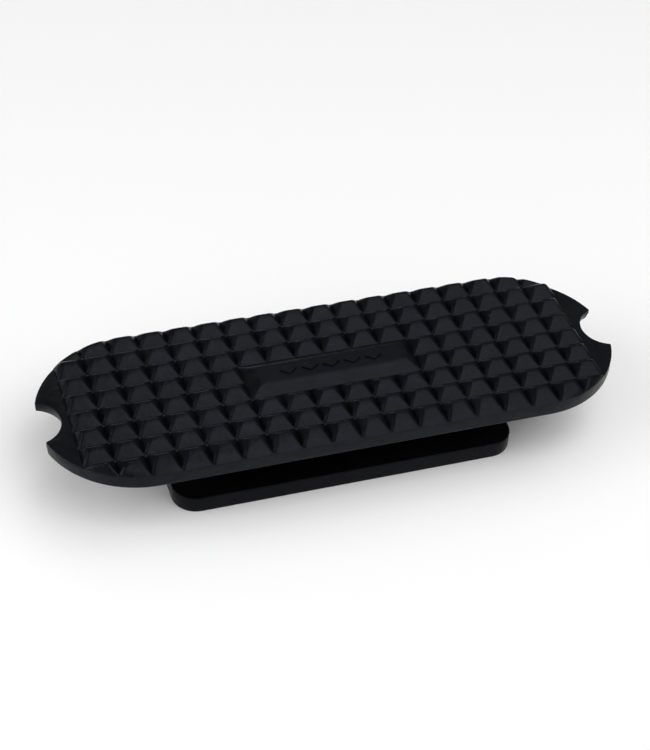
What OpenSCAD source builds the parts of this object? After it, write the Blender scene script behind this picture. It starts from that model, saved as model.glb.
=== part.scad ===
// Rubber stirrup pad: a studded foot tread on a neck and a retaining flange.
// The neck fills the slot of a stirrup iron's footplate, the flange holds the
// pad from below, and the two end notches sit round the iron's branches.
// Millimetres. +X along the tread, +Y to its back edge, +Z up. The origin is
// the centre of the flange's underside, on which the pad stands.

/* [Tread outline] */
// Length of the tread's rounded outline, before the notches are cut
tread_length = 120.6; // [114:0.6:136]
// Width of the tread, which is also the diameter of its rounded ends
tread_width = 40; // [38:0.2:46]
// Thickness of the tread under the stud roots
tread_thickness = 3.1; // [2.4:0.1:5]

/* [Studs] */
// Spacing of the studs along the tread
stud_pitch_x = 6; // [5.6:0.1:6.1]
// Spacing of the stud rows across the tread
stud_pitch_y = 5; // [4.9:0.05:5.05]
// Height of the studs above their roots
stud_height = 1.7; // [0.8:0.1:3]
// Length of a stud's blunt crest along the tread
crest_x = 2.6; // [0.2:0.1:3]
// Width of a stud's blunt crest across the tread
crest_y = 0.4; // [0.2:0.1:2]
// How far a stud's crest sits behind the middle of the stud
crest_back = 0.35; // [0:0.05:0.8]
// How far the stud field sits towards the back edge
field_shift = 0.8; // [0.6:0.1:1.3]
// Steepness of the studs' outer faces, which rise from the tread's outline
rim_slope = 1.2; // [0.8:0.1:2]

/* [End lips] */
// How far the end lips lie below the stud roots
lip_drop = 0.35; // [0:0.05:0.35]
// Radius of the notch that sits round an iron's branch
notch_radius = 5.9; // [5:0.1:6.3]
// Distance of the notch's centre outside the rounded outline
notch_offset = 1.05; // [0.8:0.05:3]
// Height of the notch's straight wall, above its flare
notch_land = 0.9; // [0.4:0.1:1.4]
// How much wider the notch is at its lower edge
notch_flare = 0.6; // [0.2:0.1:0.7]

/* [Label bar] */
// Studs that the label bar replaces along the tread
label_columns = 6; // [2:2:10]
// Width of the label bar's sloping sides
label_slope = 2.35; // [1.5:0.05:3]
// Number of plain lozenges on the label bar
lozenge_count = 5; // [1:2:7]
// Length of one lozenge
lozenge_length = 3.6; // [2:0.1:4]
// Width of one lozenge
lozenge_width = 2.4; // [1.5:0.1:3.5]
// Height of the lozenges above the label bar
lozenge_height = 0.3; // [0.2:0.05:0.6]

/* [Neck and flange] */
// Length of the neck, along the footplate's slot
neck_length = 60; // [50:1:62]
// Width of the neck, across the footplate's slot
neck_width = 18; // [14:1:22]
// Height of the neck, which is the thickness of footplate it takes
neck_height = 10.2; // [6:0.1:12]
// Corner radius of the neck
neck_corner = 5; // [2:0.5:6]
// Length of the retaining flange
flange_length = 72; // [68:0.5:76]
// Width of the retaining flange
flange_width = 31.4; // [28:0.2:34]
// Thickness of the retaining flange
flange_thickness = 3.7; // [2.5:0.1:5]
// Corner radius of the retaining flange
flange_corner = 5; // [3:0.5:7]

/* [Hidden] */

$fn = 64;
stud_columns = 18;              // column 1 is at the left end
stud_rows = 8;                  // row 1 is at the back edge, row 8 at the front
row_base = 0.4;                 // thickness of the strip that a row of studs stands on
label_rows = [4, 5];            // rows that the label bar interrupts
overrun = 1;                    // how far cutting shapes run past what they cut

end_radius = tread_width / 2;
end_centre = tread_length / 2 - end_radius;
field_half_x = stud_columns * stud_pitch_x / 2;
field_back = stud_rows * stud_pitch_y / 2 + field_shift;
notch_centre = tread_length / 2 + notch_offset;

neck_z = flange_thickness;
tread_z = neck_z + neck_height;
root_z = tread_z + tread_thickness;     // level of the stud roots
crest_z = root_z + stud_height;
lip_z = root_z - lip_drop;              // top of the end lips

label_half_x = label_columns * stud_pitch_x / 2;
label_back = row_back(label_rows[0]);
label_front = row_back(label_rows[1] + 1);
label_y = (label_back + label_front) / 2;

rubber = "#1e1f23";
rubber_crest = "#26272c";
rubber_label = "#2c2d33";

// Y of a row's back edge
function row_back(row) = field_back - (row - 1) * stud_pitch_y;

// X of a column's left edge
function column_x(c) = (c - 1) * stud_pitch_x - field_half_x;

// Height of the valley at a column's left edge: the field runs out onto the lips
function valley(c) = c == 1 || c == stud_columns + 1 ? -lip_drop : 0;

// Side view of a run of studs from column `first` to column `last`
function stud_run_profile(first, last) = concat(
    [[column_x(first), -row_base]],
    [for (c = [first : last]) each [
        [column_x(c), valley(c)],
        [column_x(c) + (stud_pitch_x - crest_x) / 2, stud_height],
        [column_x(c) + (stud_pitch_x + crest_x) / 2, stud_height]
    ]],
    [[column_x(last + 1), valley(last + 1)], [column_x(last + 1), -row_base]]
);

// Plan outline of the tread: straight long edges and two rounded ends
module tread_outline() {
    for (x = [-end_centre, end_centre])
        translate([x, 0]) circle(r = end_radius, $fn = 128);
    translate([-end_centre, -end_radius])
        square([2 * end_centre, tread_width]);
}

// Rounded rectangle, centred
module rounded_plate(length, width, corner) {
    inner_x = length / 2 - corner;
    inner_y = width / 2 - corner;
    translate([-inner_x, -width / 2]) square([2 * inner_x, width]);
    translate([-length / 2, -inner_y]) square([length, 2 * inner_y]);
    for (x = [-inner_x, inner_x], y = [-inner_y, inner_y])
        translate([x, y]) circle(r = corner);
}

// Prism between two heights that follows the tread's outline
module tread_prism(bottom, top) {
    translate([0, 0, bottom])
        linear_extrude(top - bottom) tread_outline();
}

// Blunt studs of one row, from column `first` to column `last`, on their strip.
// The front row's faces run on to the tread's front edge.
module stud_run(row, first, last) {
    back = row_back(row);
    front = back - stud_pitch_y;
    foot = row == stud_rows ? -end_radius : front;
    slope = (stud_pitch_y - crest_y) / 2;
    intersection() {
        translate([0, back, root_z]) rotate([90, 0, 0])
            linear_extrude(back - foot)
                polygon(stud_run_profile(first, last));
        translate([column_x(first), 0, root_z]) rotate([90, 0, 90])
            linear_extrude((last - first + 1) * stud_pitch_x)
                polygon([
                    [foot, -row_base], [back, -row_base], [back, 0],
                    [back - slope + crest_back, stud_height],
                    [front + slope + crest_back, stud_height], [foot, 0]
                ]);
    }
}

// Space that the studs may fill: it narrows upwards from the tread's outline
module stud_space() {
    top_radius = end_radius - stud_height / rim_slope;
    tread_prism(root_z - row_base, root_z);
    translate([0, 0, root_z]) {
        for (x = [-end_centre, end_centre])
            translate([x, 0, 0])
                cylinder(r1 = end_radius, r2 = top_radius, h = stud_height, $fn = 128);
        translate([-end_centre, 0, 0]) rotate([90, 0, 90])
            linear_extrude(2 * end_centre)
                polygon([
                    [-end_radius, 0], [end_radius, 0],
                    [top_radius, stud_height], [-top_radius, stud_height]
                ]);
    }
}

// One row of studs, kept inside the tread's outline
module stud_row(row) {
    broken = len(search(row, label_rows)) > 0;
    half = (stud_columns - label_columns) / 2;
    color(rubber_crest) intersection() {
        union() {
            if (broken) {
                stud_run(row, 1, half);
                stud_run(row, stud_columns - half + 1, stud_columns);
            } else {
                stud_run(row, 1, stud_columns);
            }
        }
        stud_space();
    }
}

module tread_slab() {
    color(rubber) intersection() {
        tread_prism(tread_z, root_z - row_base);
        translate([-field_half_x, -tread_width, tread_z - overrun])
            cube([2 * field_half_x, 2 * tread_width, tread_thickness + 2 * overrun]);
    }
}

// Notched lip beyond the stud field: side is -1 for the left end, 1 for the right
module end_lip(side) {
    flare_top = lip_z - notch_land;
    color(rubber) difference() {
        intersection() {
            tread_prism(tread_z, lip_z);
            translate([side > 0 ? field_half_x : -tread_length, -tread_width, tread_z - overrun])
                cube([tread_length - field_half_x, 2 * tread_width, tread_thickness + 2 * overrun]);
        }
        translate([side * notch_centre, 0, tread_z - overrun])
            cylinder(r = notch_radius, h = tread_thickness + 2 * overrun);
        translate([side * notch_centre, 0, tread_z])
            cylinder(r1 = notch_radius + notch_flare, r2 = notch_radius, h = flare_top - tread_z);
    }
}

// Flat-topped bar with four sloping sides that takes the place of two half rows of studs
module label_bar() {
    color(rubber_label) intersection() {
        translate([0, label_back, root_z]) rotate([90, 0, 0])
            linear_extrude(label_back - label_front)
                polygon([
                    [-label_half_x, -row_base], [label_half_x, -row_base],
                    [label_half_x, 0], [label_half_x - label_slope, stud_height],
                    [label_slope - label_half_x, stud_height], [-label_half_x, 0]
                ]);
        translate([-label_half_x, 0, root_z]) rotate([90, 0, 90])
            linear_extrude(2 * label_half_x)
                polygon([
                    [label_front, -row_base], [label_back, -row_base],
                    [label_back, 0], [label_back - label_slope, stud_height],
                    [label_front + label_slope, stud_height], [label_front, 0]
                ]);
    }
}

// Plain raised lozenges in a line on the label bar
module label_lozenges() {
    spacing = lozenge_length + 0.9;
    color(rubber_label)
        for (i = [0 : lozenge_count - 1])
            translate([(i - (lozenge_count - 1) / 2) * spacing, label_y, crest_z])
                linear_extrude(lozenge_height)
                    polygon([
                        [-lozenge_length / 2, 0], [0, -lozenge_width / 2],
                        [lozenge_length / 2, 0], [0, lozenge_width / 2]
                    ]);
}

// Block that fills the slot of the iron's footplate
module neck() {
    color(rubber) translate([0, 0, neck_z])
        linear_extrude(neck_height) rounded_plate(neck_length, neck_width, neck_corner);
}

// Plate below the footplate that keeps the pad in the iron
module retaining_flange() {
    color(rubber)
        linear_extrude(flange_thickness)
            rounded_plate(flange_length, flange_width, flange_corner);
}

retaining_flange();
neck();
tread_slab();
end_lip(-1);  // left_end_lip
end_lip(1);  // right_end_lip
stud_row(1);  // stud_row_1
stud_row(2);  // stud_row_2
stud_row(3);  // stud_row_3
stud_row(4);  // stud_row_4
stud_row(5);  // stud_row_5
stud_row(6);  // stud_row_6
stud_row(7);  // stud_row_7
stud_row(8);  // stud_row_8
label_bar();
label_lozenges();
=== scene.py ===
"""Rubber stirrup pad: studded tread, notched end lips, label bar, neck and retaining flange.

Lengths are in millimetres until a mesh is made, where MM turns them into metres.
The studio's lamps and its floor are in metres.
The frame is the CAD model's: +X along the tread, +Y to its back edge, +Z up.
"""
import math

import bpy
from mathutils import Matrix, Vector


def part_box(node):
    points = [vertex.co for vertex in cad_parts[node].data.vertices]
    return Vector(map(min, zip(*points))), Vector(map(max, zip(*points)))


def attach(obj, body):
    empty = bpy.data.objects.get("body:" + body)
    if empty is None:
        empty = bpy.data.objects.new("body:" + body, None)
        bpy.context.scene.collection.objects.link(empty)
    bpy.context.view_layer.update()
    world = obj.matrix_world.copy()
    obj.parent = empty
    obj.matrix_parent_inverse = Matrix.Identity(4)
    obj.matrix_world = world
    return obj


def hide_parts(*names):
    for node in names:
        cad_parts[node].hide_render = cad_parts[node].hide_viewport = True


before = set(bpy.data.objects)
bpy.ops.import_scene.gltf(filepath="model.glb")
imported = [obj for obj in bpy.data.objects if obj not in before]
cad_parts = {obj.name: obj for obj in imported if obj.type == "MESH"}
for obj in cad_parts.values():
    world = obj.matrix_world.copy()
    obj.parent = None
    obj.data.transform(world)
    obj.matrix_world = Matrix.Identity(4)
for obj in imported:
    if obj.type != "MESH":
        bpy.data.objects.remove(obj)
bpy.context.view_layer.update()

MM = 0.001


# ---------------------------------------------------------------- sizes

def span(node):
    """Lowest and highest corner of a CAD node, in millimetres."""
    low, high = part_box(node)
    return low / MM, high / MM


slab_low, slab_high = span("tread_slab")
lip_low, lip_high = span("right_end_lip")
neck_low, neck_high = span("neck")
flange_low, flange_high = span("retaining_flange")
bar_low, bar_high = span("label_bar")
lozenge_low, lozenge_high = span("label_lozenges")
row_high = span("stud_row_2")[1]        # row 2 is the first that the outline leaves whole

FIELD_X = slab_high.x                   # half length of the stud field
END_RADIUS = slab_high.y                # radius of the rounded ends
HALF_OUTLINE = 60.3                     # half length of the tread before its notches
END_CENTRE = HALF_OUTLINE - END_RADIUS
ROWS, COLUMNS = 8, 18
PITCH_X = 2 * FIELD_X / COLUMNS
PITCH_Y = 5.0
ROW_BASE = 0.4                          # strip that a row of studs stands on
ROOT_Z = slab_high.z + ROW_BASE         # level of the stud roots
STUD_HEIGHT = row_high.z - ROOT_Z
FIELD_BACK = row_high.y + PITCH_Y

BLOCK_CORNER = 5.0                      # corner radius of the neck and of the flange
FLANGE_ROUND = 0.3                      # rounding of the flange's edges
NECK_FILLET = 1.0                       # fillet between the neck and the plates it joins
TREAD_ROUND = 0.25                      # rounding of the tread's lower edge

NOTCH_RADIUS = 5.9
NOTCH_CENTRE = 61.35
NOTCH_LAND = 0.9                        # straight wall above the flare
NOTCH_FLARE = 0.6                       # how much wider the notch is at the underside
LIP_ROUND = 0.2                         # rounding of a lip's upper edge
HORN_ROUND = 0.25                       # radius of a horn's tip, seen from above
HORN_SHRINK = 0.8                       # how much of an edge's inset that radius loses

CREST_X, CREST_Y = 2.6, 0.4
CREST_BACK = 0.35                       # how far a crest sits behind the middle of its stud
BULGE = 0.18                            # how much steeper a stud's face starts than it ends
EASE = 0.26                             # how softly the faces run into each other
RIM_SLOPE = 1.2                         # slope of the stud field where it meets the outline
LIP_DROP = ROOT_Z - lip_high.z          # how far the lips lie below the stud roots
RUN_OUT = 1.7                           # stretch over which the field comes down to a lip
RUN_OUT_POWER = 1.5                     # 1 would come down evenly, more comes down late
CELLS_X, CELLS_Y = 18, 16               # mesh cells along and across one stud

LABEL_ROWS = (4, 5)                     # rows that the label bar interrupts
LABEL_COLUMNS = 6                       # studs that the label bar replaces in each of them
LABEL_SLOPE = 2.35                      # width of the bar's sloping sides
LABEL_CELLS_X, LABEL_CELLS_Y = 96, 32   # mesh cells along and across the bar
LOZENGES = 5
LOZENGE_SPACING = 4.5                   # from centre to centre
LOZENGE_HALF_X = 1.8
LOZENGE_ROUND = 0.12                    # rounding of a lozenge's upper edge
LOZENGE_SINK = 0.05                     # how deep a lozenge reaches into the bar
TIP_X, TIP_Y = 1.8, 1.2                 # how far the tips move in when the sides move in by 1


# ---------------------------------------------------------------- materials

SHEEN_TINT = (0.76, 0.82, 1.0)          # the sheen of the rubber is slightly blue
BLOOM = (0.0046, 0.0048, 0.0056)        # grey bloom, in patches
DUST = (0.16, 0.16, 0.15)
GROUND_RANGE = 1.6                      # how much lighter the ground gets than its base
GLOSS_RANGE = 0.08                      # how far the roughness strays from its middle


def rubber(name, base, specular, roughness, grain, bloom, dust):
    """Moulded black rubber: blotchy bloom, uneven gloss, fine skin grain and a few dust specks."""
    material = bpy.data.materials.new(name)
    material.use_nodes = True
    tree = material.node_tree
    shader = tree.nodes["Principled BSDF"]
    shader.inputs["IOR"].default_value = 1.5
    shader.inputs["Specular IOR Level"].default_value = specular
    shader.inputs["Specular Tint"].default_value = (*SHEEN_TINT, 1)
    place = tree.nodes.new("ShaderNodeTexCoord")

    def noise(scale, detail, rough):
        node = tree.nodes.new("ShaderNodeTexNoise")
        node.inputs["Scale"].default_value = scale
        node.inputs["Detail"].default_value = detail
        node.inputs["Roughness"].default_value = rough
        tree.links.new(place.outputs["Object"], node.inputs["Vector"])
        return node.outputs["Fac"]

    def ramp(source, low, high, from_value, to_value):
        """The source's stretch from low to high, mapped to two new values."""
        node = tree.nodes.new("ShaderNodeMapRange")
        node.inputs["From Min"].default_value = low
        node.inputs["From Max"].default_value = high
        node.inputs["To Min"].default_value = from_value
        node.inputs["To Max"].default_value = to_value
        tree.links.new(source, node.inputs["Value"])
        return node.outputs["Result"]

    def times(a, b):
        node = tree.nodes.new("ShaderNodeMath")
        node.operation = "MULTIPLY"
        tree.links.new(a, node.inputs[0])
        tree.links.new(b, node.inputs[1])
        return node.outputs["Value"]

    def mix(factor, a, b):
        """Mix of a, which is a colour or a socket, and the colour b."""
        node = tree.nodes.new("ShaderNodeMix")
        node.data_type = "RGBA"
        tree.links.new(factor, node.inputs["Factor"])
        if isinstance(a, tuple):
            node.inputs["A"].default_value = (*a, 1)
        else:
            tree.links.new(a, node.inputs["A"])
        node.inputs["B"].default_value = (*b, 1)
        return node.outputs["Result"]

    def bump(height, strength, distance):
        node = tree.nodes.new("ShaderNodeBump")
        node.inputs["Strength"].default_value = strength
        node.inputs["Distance"].default_value = distance
        tree.links.new(height, node.inputs["Height"])
        return node

    # Near-black ground, a little uneven
    light_ground = tuple(c * GROUND_RANGE for c in base)
    colour = mix(ramp(noise(900, 4, 0.6), 0.3, 0.7, 0, 1), base, light_ground)

    # Patches of bloom, themselves uneven
    patches = ramp(noise(75, 5, 0.6), 0.44, 0.68, 0, 1)
    patchiness = ramp(noise(310, 4, 0.6), 0.3, 0.6, 0.35, bloom)
    colour = mix(times(patches, patchiness), colour, BLOOM)

    # Dust specks, in a few places only
    grit = tree.nodes.new("ShaderNodeTexVoronoi")
    grit.inputs["Scale"].default_value = 210
    tree.links.new(place.outputs["Object"], grit.inputs["Vector"])
    specks = ramp(grit.outputs["Distance"], 0.05, 0.11, dust, 0)
    dusty_places = ramp(noise(55, 2, 0.5), 0.66, 0.70, 0, 1)
    colour = mix(times(specks, dusty_places), colour, DUST)
    tree.links.new(colour, shader.inputs["Base Color"])

    gloss = ramp(noise(160, 5, 0.65), 0.3, 0.7, roughness - GLOSS_RANGE, roughness + GLOSS_RANGE)
    tree.links.new(gloss, shader.inputs["Roughness"])

    # Slight waves in the moulding, with the skin's fine grain over them
    waves = bump(noise(420, 3, 0.5), 0.5, 0.00035)
    skin = bump(noise(2600, 5, 0.6), grain, 0.00006)
    tree.links.new(waves.outputs["Normal"], skin.inputs["Normal"])
    tree.links.new(skin.outputs["Normal"], shader.inputs["Normal"])
    return material


rubbers = {
    "tread_rubber": rubber("tread_rubber", base=(0.0016, 0.0017, 0.0022), specular=0.118,
                           roughness=0.33, grain=0.25, bloom=1.0, dust=1.0),
    "stud_rubber": rubber("stud_rubber", base=(0.0013, 0.0014, 0.0019), specular=0.114,
                          roughness=0.32, grain=0.25, bloom=0.9, dust=1.0),
    "label_rubber": rubber("label_rubber", base=(0.0018, 0.0019, 0.0024), specular=0.114,
                           roughness=0.33, grain=0.20, bloom=1.0, dust=1.0),
    # Painted shade: the flange and neck are the tread's own rubber, made darker, less blue and
    # with a weaker sheen to stand for the shade under the tread
    "flange_rubber": rubber("flange_rubber", base=(0.0015, 0.0015, 0.0017), specular=0.100,
                            roughness=0.33, grain=0.25, bloom=0.7, dust=0.6),
}


# ---------------------------------------------------------------- mesh helpers

SMOOTH_BELOW = math.radians(40)         # faces that meet at less than this look rounded


def new_piece(name, vertices, faces, slot, node):
    """A mesh from millimetre vertices, riding on the body and standing for a CAD node."""
    mesh = bpy.data.meshes.new(name)
    mesh.from_pydata([Vector(v) * MM for v in vertices], [], faces)
    mesh.validate()
    mesh.materials.append(rubbers[slot])
    mesh.polygons.foreach_set("use_smooth", [True] * len(mesh.polygons))
    mesh.set_sharp_from_angle(angle=SMOOTH_BELOW)
    piece = bpy.data.objects.new(name, mesh)
    bpy.context.scene.collection.objects.link(piece)
    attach(piece, "root")
    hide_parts(node)


def add_solid(vertices, faces, more_vertices, more_faces):
    """Append one solid's vertices and faces to a mesh that holds others."""
    faces += [tuple(i + len(vertices) for i in face) for face in more_faces]
    vertices += more_vertices


def loft(rings):
    """Vertices and faces of a capped solid through rings with equal point counts."""
    count = len(rings[0])
    vertices = [point for ring in rings for point in ring]
    faces = []
    for r in range(len(rings) - 1):
        for i in range(count):
            j = (i + 1) % count
            faces.append((r * count + i, r * count + j,
                          (r + 1) * count + j, (r + 1) * count + i))
    last = (len(rings) - 1) * count
    faces.append(tuple(range(count))[::-1])
    faces.append(tuple(range(last, last + count)))
    return vertices, faces


def quarter_turn(steps):
    """Angles from 0 to 90 degrees, in radians."""
    return [math.pi / 2 * i / steps for i in range(steps + 1)]


def edge_profile(bottom, top, round_bottom, round_top, steps=5):
    """(inset, z) pairs up a wall whose two edges are rounded, half of them for each edge."""
    return ([(round_bottom * (1 - math.sin(a)), bottom + round_bottom * (1 - math.cos(a)))
             for a in quarter_turn(steps)]
            + [(round_top * (1 - math.cos(a)), top - round_top * (1 - math.sin(a)))
               for a in quarter_turn(steps)])


def arc(cx, cy, radius, start, end, steps):
    """Points along an arc between two angles in degrees, both included."""
    return [(cx + radius * math.cos(math.radians(start + (end - start) * i / steps)),
             cy + radius * math.sin(math.radians(start + (end - start) * i / steps)))
            for i in range(steps + 1)]


def rounded_rectangle(half_x, half_y, corner, steps=10):
    """Outline of a centred rectangle with round corners."""
    x, y = half_x - corner, half_y - corner
    return (arc(x, y, corner, 0, 90, steps) + arc(-x, y, corner, 90, 180, steps)
            + arc(-x, -y, corner, 180, 270, steps) + arc(x, -y, corner, 270, 360, steps))


def rounded_block(high, profile):
    """Solid with a rounded plan that is inset at each height as the profile says."""
    return loft([[(x, y, z) for x, y in rounded_rectangle(
                    high.x - inset, high.y - inset, BLOCK_CORNER - inset)]
                 for inset, z in profile])


def half_width(x, inset=0.0):
    """Half width of the tread's outline at x."""
    beyond = abs(x) - END_CENTRE
    radius = END_RADIUS - inset
    return radius if beyond <= 0 else math.sqrt(max(radius * radius - beyond * beyond, 0))


def soft_min(a, b, k):
    """The smaller of two values, eased where they differ by less than k."""
    h = max(k - abs(a - b), 0) / k
    return min(a, b) - h * h * k / 4


# ---------------------------------------------------------------- flange and neck

def retaining_flange():
    profile = edge_profile(flange_low.z, flange_high.z, FLANGE_ROUND, FLANGE_ROUND)
    new_piece("retaining_flange_moulding", *rounded_block(flange_high, profile),
              "flange_rubber", "retaining_flange")


def neck():
    """The neck, which a fillet joins to the flange below and to the tread above."""
    lower = [(-NECK_FILLET * (1 - math.sin(a)), neck_low.z + NECK_FILLET * (1 - math.cos(a)))
             for a in quarter_turn(steps=6)]
    upper = [(inset, neck_high.z - (z - neck_low.z)) for inset, z in lower[::-1]]
    new_piece("neck_moulding", *rounded_block(neck_high, lower + upper),
              "flange_rubber", "neck")


# ---------------------------------------------------------------- tread plate

def slab():
    """The tread's plate between the two lips. Its lower edge is round, its upper one square."""
    end_steps, straight_steps = 12, 20
    reach = math.degrees(math.acos((FIELD_X - END_CENTRE) / END_RADIUS))
    ends = [END_CENTRE + END_RADIUS * math.cos(math.radians(90 - (90 - reach) * i / end_steps))
            for i in range(1, end_steps + 1)]
    straight = [END_CENTRE * (i / straight_steps * 2 - 1) for i in range(straight_steps + 1)]
    line = [-x for x in ends[::-1]] + straight + ends
    levels = edge_profile(slab_low.z, slab_high.z, TREAD_ROUND, 0.0)
    rings = [[(x, -half_width(x, inset), z) for x in line]
             + [(x, half_width(x, inset), z) for x in line[::-1]]
             for inset, z in levels[:len(levels) // 2 + 1]]
    new_piece("tread_plate", *loft(rings), "tread_rubber", "tread_slab")


def lip_outline(inset, notch, side):
    """Outline of a lip: rounded end, two rounded horns and the notch between them."""
    outer = END_RADIUS - inset
    tip = HORN_ROUND - inset * HORN_SHRINK
    gap = NOTCH_CENTRE - END_CENTRE
    # The tip's circle lies inside the outer circle and outside the notch
    near, far = outer - tip, notch + tip
    along = (near * near - far * far + gap * gap) / (2 * gap)
    up = math.sqrt(near * near - along * along)
    tip_x = END_CENTRE + along
    start = math.degrees(math.asin(half_width(FIELD_X, inset) / outer))
    meet = math.degrees(math.atan2(up, along))
    facing = math.degrees(math.atan2(-up, NOTCH_CENTRE - tip_x))
    from_notch = math.degrees(math.atan2(up, tip_x - NOTCH_CENTRE))
    upper = (arc(END_CENTRE, 0, outer, start, meet, steps=16)
             + arc(tip_x, up, tip, meet, facing, steps=8)[1:]
             + arc(NOTCH_CENTRE, 0, notch, from_notch, 180, steps=24)[1:])
    points = upper + [(x, -y) for x, y in upper[-2::-1]]
    if side < 0:
        points = [(-x, y) for x, y in points[::-1]]
    return points


def end_lip(side, node):
    """Notched lip: side is -1 for the left end and 1 for the right."""
    flare_top = lip_high.z - NOTCH_LAND
    levels = edge_profile(lip_low.z, lip_high.z, TREAD_ROUND, LIP_ROUND)
    levels.insert(len(levels) // 2, (0, flare_top))
    rings = []
    for inset, z in levels:
        flare = NOTCH_FLARE * max(0, flare_top - z) / (flare_top - lip_low.z)
        outline = lip_outline(inset, NOTCH_RADIUS + flare + inset, side)
        rings.append([(x, y, z) for x, y in outline[::-1]])
    new_piece(f"{node}_moulding", *loft(rings), "tread_rubber", node)


# ---------------------------------------------------------------- studs

def stud_height(x, y, back, front):
    """Height of the stud field above its roots, in a row that runs from back to front."""
    across = abs(((x + FIELD_X) % PITCH_X) / PITCH_X - 0.5) * PITCH_X
    crest = back - PITCH_Y / 2 + CREST_BACK
    rise_x = (PITCH_X / 2 - across) / ((PITCH_X - CREST_X) / 2)
    rise_y = min((back - y) / (back - crest - CREST_Y / 2),
                 (y - front) / (crest - CREST_Y / 2 - front))
    to_rim = END_RADIUS - math.hypot(max(abs(x) - END_CENTRE, 0), y)
    t = soft_min(soft_min(rise_x, rise_y, EASE), to_rim * RIM_SLOPE / STUD_HEIGHT, EASE)
    t = soft_min(t, 1.0, EASE)
    t = max(t, 0)
    run_out = max(abs(x) - FIELD_X + RUN_OUT, 0) / RUN_OUT
    return STUD_HEIGHT * t * (1 + BULGE * (1 - t)) - LIP_DROP * run_out ** RUN_OUT_POWER


def run_of_studs(first, last, back, front):
    """Vertices and faces of a closed strip of studs, cut to the tread's outline."""
    reach = FIELD_X
    if front > half_width(FIELD_X):
        # The row runs out against the rounded end before it reaches the lip
        reach = END_CENTRE + math.sqrt(END_RADIUS ** 2 - front ** 2)
    xs = [-FIELD_X + (first - 1) * PITCH_X + PITCH_X * i / CELLS_X
          for i in range((last - first + 1) * CELLS_X + 1)]
    xs = sorted({max(min(x, reach), -reach) for x in xs})
    ys = [back - (back - front) * j / CELLS_Y for j in range(CELLS_Y + 1)]
    vertices, faces = [], []

    def vertex(x, y, z):
        vertices.append((x, y, z))
        return len(vertices) - 1

    # Past the outline a line of points stays at the outline, as one shared vertex
    surface = []
    for x in xs:
        limit = half_width(x)
        line = []
        for y in ys:
            cut = max(min(y, limit), -limit)
            if line and abs(vertices[line[-1]][1] - cut) < 1e-6:
                line.append(line[-1])
            else:
                line.append(vertex(x, cut, ROOT_Z + stud_height(x, cut, back, front)))
        surface.append(line)
    base = []
    for line in surface:
        below = {v: vertex(*vertices[v][:2], slab_high.z) for v in dict.fromkeys(line)}
        base.append([below[v] for v in line])

    def face(corners, flip):
        corners = list(dict.fromkeys(corners))
        if len(corners) >= 3:
            faces.append(tuple(corners[::-1] if flip else corners))

    end_x, end_y = len(xs) - 1, len(ys) - 1
    for i in range(end_x):
        for j in range(end_y):
            for grid in (surface, base):
                face([grid[i][j], grid[i][j + 1], grid[i + 1][j + 1], grid[i + 1][j]],
                     flip=grid is base)
    for i in range(end_x):
        for j in (0, end_y):
            face([surface[i][j], surface[i + 1][j], base[i + 1][j], base[i][j]], flip=j != 0)
    for j in range(end_y):
        for i in (0, end_x):
            face([surface[i][j], surface[i][j + 1], base[i][j + 1], base[i][j]], flip=i == 0)
    return vertices, faces


def stud_row(row):
    """One row of studs: row 1 is at the back edge, and row 8 runs on to the front edge."""
    back = FIELD_BACK - (row - 1) * PITCH_Y
    front = -END_RADIUS if row == ROWS else back - PITCH_Y
    runs = [(1, COLUMNS)]
    if row in LABEL_ROWS:
        side = (COLUMNS - LABEL_COLUMNS) // 2
        runs = [(1, side), (COLUMNS - side + 1, COLUMNS)]
    vertices, faces = [], []
    for first, last in runs:
        add_solid(vertices, faces, *run_of_studs(first, last, back, front))
    new_piece(f"stud_row_{row}_moulding", vertices, faces, "stud_rubber", f"stud_row_{row}")


# ---------------------------------------------------------------- label bar

def label_bar():
    """Flat-topped bar with four sloping sides and eased edges."""
    nx, ny = LABEL_CELLS_X, LABEL_CELLS_Y
    half = Vector(((bar_high.x - bar_low.x) / 2, (bar_high.y - bar_low.y) / 2))
    middle = (bar_high.y + bar_low.y) / 2
    vertices, faces = [], []
    for i in range(nx + 1):
        for j in range(ny + 1):
            x = -half.x + 2 * half.x * i / nx
            y = -half.y + 2 * half.y * j / ny
            t = soft_min((half.x - abs(x)) / LABEL_SLOPE, (half.y - abs(y)) / LABEL_SLOPE, EASE)
            t = max(soft_min(t, 1.0, EASE), 0)
            vertices.append((x, middle + y, ROOT_Z + (bar_high.z - ROOT_Z) * t))
    below = len(vertices)
    vertices += [(x, y, slab_high.z) for x, y, _ in vertices]

    def index(i, j):
        return i * (ny + 1) + j

    for i in range(nx):
        for j in range(ny):
            quad = [index(i, j), index(i + 1, j), index(i + 1, j + 1), index(i, j + 1)]
            faces += [tuple(quad), tuple(q + below for q in quad[::-1])]
    rim = ([index(i, 0) for i in range(nx)] + [index(nx, j) for j in range(ny)]
           + [index(i, ny) for i in range(nx, 0, -1)] + [index(0, j) for j in range(ny, 0, -1)])
    for a, b in zip(rim, rim[1:] + rim[:1]):
        faces.append((a + below, b + below, b, a))
    new_piece("label_bar_moulding", vertices, faces, "label_rubber", "label_bar")


def label_lozenges():
    """Plain raised lozenges in a line on the label bar."""
    steps = 3
    middle = (lozenge_high.y + lozenge_low.y) / 2
    half_y = (lozenge_high.y - lozenge_low.y) / 2
    profile = edge_profile(bar_high.z - LOZENGE_SINK, lozenge_high.z, 0, LOZENGE_ROUND, steps)
    vertices, faces = [], []
    for k in range(LOZENGES):
        cx = (k - (LOZENGES - 1) / 2) * LOZENGE_SPACING
        rings = []
        for inset, z in profile[steps:]:
            sx, sy = LOZENGE_HALF_X - inset * TIP_X, half_y - inset * TIP_Y
            rings.append([(cx + sx, middle, z), (cx, middle + sy, z),
                          (cx - sx, middle, z), (cx, middle - sy, z)])
        add_solid(vertices, faces, *loft(rings))
    new_piece("label_lozenges_moulding", vertices, faces, "label_rubber", "label_lozenges")


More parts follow.
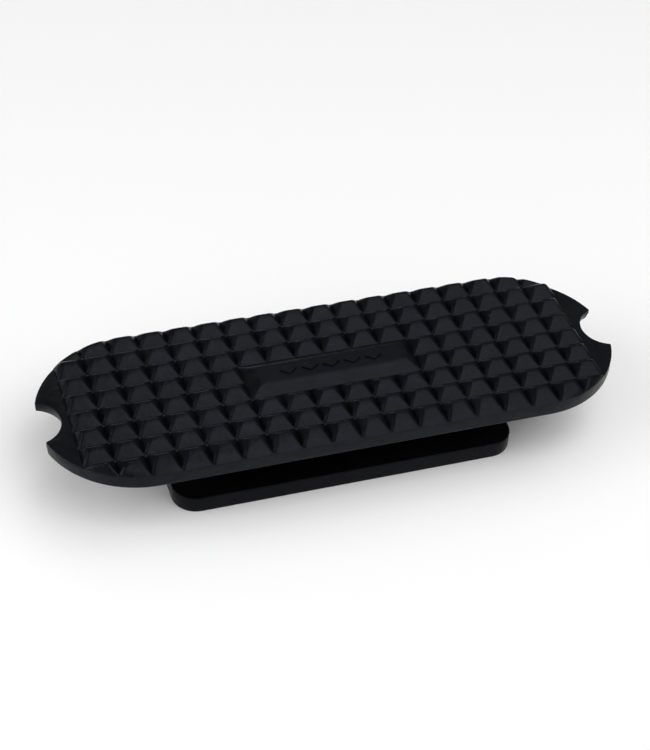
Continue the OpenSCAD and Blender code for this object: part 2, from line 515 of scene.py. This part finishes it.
retaining_flange()
neck()
slab()
end_lip(-1, "left_end_lip")
end_lip(1, "right_end_lip")
for row in range(1, ROWS + 1):
    stud_row(row)
label_bar()
label_lozenges()


# ---------------------------------------------------------------- studio

def studio_floor():
    """Plain pale floor, far wider than the pad."""
    side = 12.0
    mesh = bpy.data.meshes.new("studio_floor")
    mesh.from_pydata([(-side, -side, 0), (side, -side, 0), (side, side, 0), (-side, side, 0)],
                     [], [(0, 1, 2, 3)])
    floor = bpy.data.objects.new("studio_floor", mesh)
    bpy.context.scene.collection.objects.link(floor)
    paper = bpy.data.materials.new("pale_paper")
    paper.use_nodes = True
    shader = paper.node_tree.nodes["Principled BSDF"]
    shader.inputs["Base Color"].default_value = (0.95, 0.95, 0.95, 1)
    shader.inputs["Roughness"].default_value = 0.9
    shader.inputs["Specular IOR Level"].default_value = 0.1
    mesh.materials.append(paper)


def soft_box(name, azimuth, elevation, size, irradiance, distance=0.8):
    """A square area light that faces the pad. Azimuth 0 is in front and 90 to the right."""
    light = bpy.data.lights.new(name, "AREA")
    light.shape = "SQUARE"
    light.size = size
    light.energy = irradiance * math.pi * distance ** 2
    lamp = bpy.data.objects.new(name, light)
    a, e = math.radians(azimuth), math.radians(elevation)
    away = Vector((math.sin(a) * math.cos(e), -math.cos(a) * math.cos(e), math.sin(e)))
    lamp.location = away * distance
    lamp.rotation_mode = "QUATERNION"
    lamp.rotation_quaternion = (-away).to_track_quat("-Z", "Y")
    lamp.visible_camera = False
    bpy.context.scene.collection.objects.link(lamp)


def surroundings(strength):
    """Even grey light from all round."""
    world = bpy.data.worlds.new("studio_surroundings")
    world.use_nodes = True
    sky = world.node_tree.nodes["Background"]
    sky.inputs["Color"].default_value = (1, 1, 1, 1)
    sky.inputs["Strength"].default_value = strength
    bpy.context.scene.world = world


def photo_camera():
    """Camera at the photograph's angle, distance and focal length."""
    data = bpy.data.cameras.new("photo_camera")
    data.sensor_width = 36
    data.lens = 89.01
    data.clip_start, data.clip_end = 0.01, 20
    camera = bpy.data.objects.new("photo_camera", data)
    place = Vector((-98.385, -261.094, 267.853)) * MM
    right = Vector((0.95215, -0.30061, 0.05521))
    down = Vector((-0.16311, -0.65253, -0.74000))
    forward = Vector((0.25848, 0.69558, -0.67034))
    turn = Matrix((right, -down, -forward)).transposed()
    camera.matrix_world = Matrix.Translation(place) @ turn.to_4x4()
    bpy.context.scene.collection.objects.link(camera)
    bpy.context.scene.camera = camera


studio_floor()
surroundings(strength=0.20)
soft_box("left_soft_box", azimuth=270, elevation=14, size=0.60, irradiance=1.00)
soft_box("left_high_soft_box", azimuth=270, elevation=35, size=0.60, irradiance=0.95)
soft_box("front_left_soft_box", azimuth=315, elevation=20, size=0.50, irradiance=0.25)
soft_box("front_soft_box", azimuth=0, elevation=62, size=0.60, irradiance=0.94)
soft_box("right_soft_box", azimuth=45, elevation=35, size=0.50, irradiance=0.56)
soft_box("upper_right_soft_box", azimuth=72, elevation=62, size=0.60, irradiance=0.92)
soft_box("rear_soft_box", azimuth=144, elevation=62, size=0.60, irradiance=0.30)
soft_box("back_soft_box", azimuth=185, elevation=14, size=0.50, irradiance=0.34)
photo_camera()
bpy.context.scene.view_settings.view_transform = "Standard"
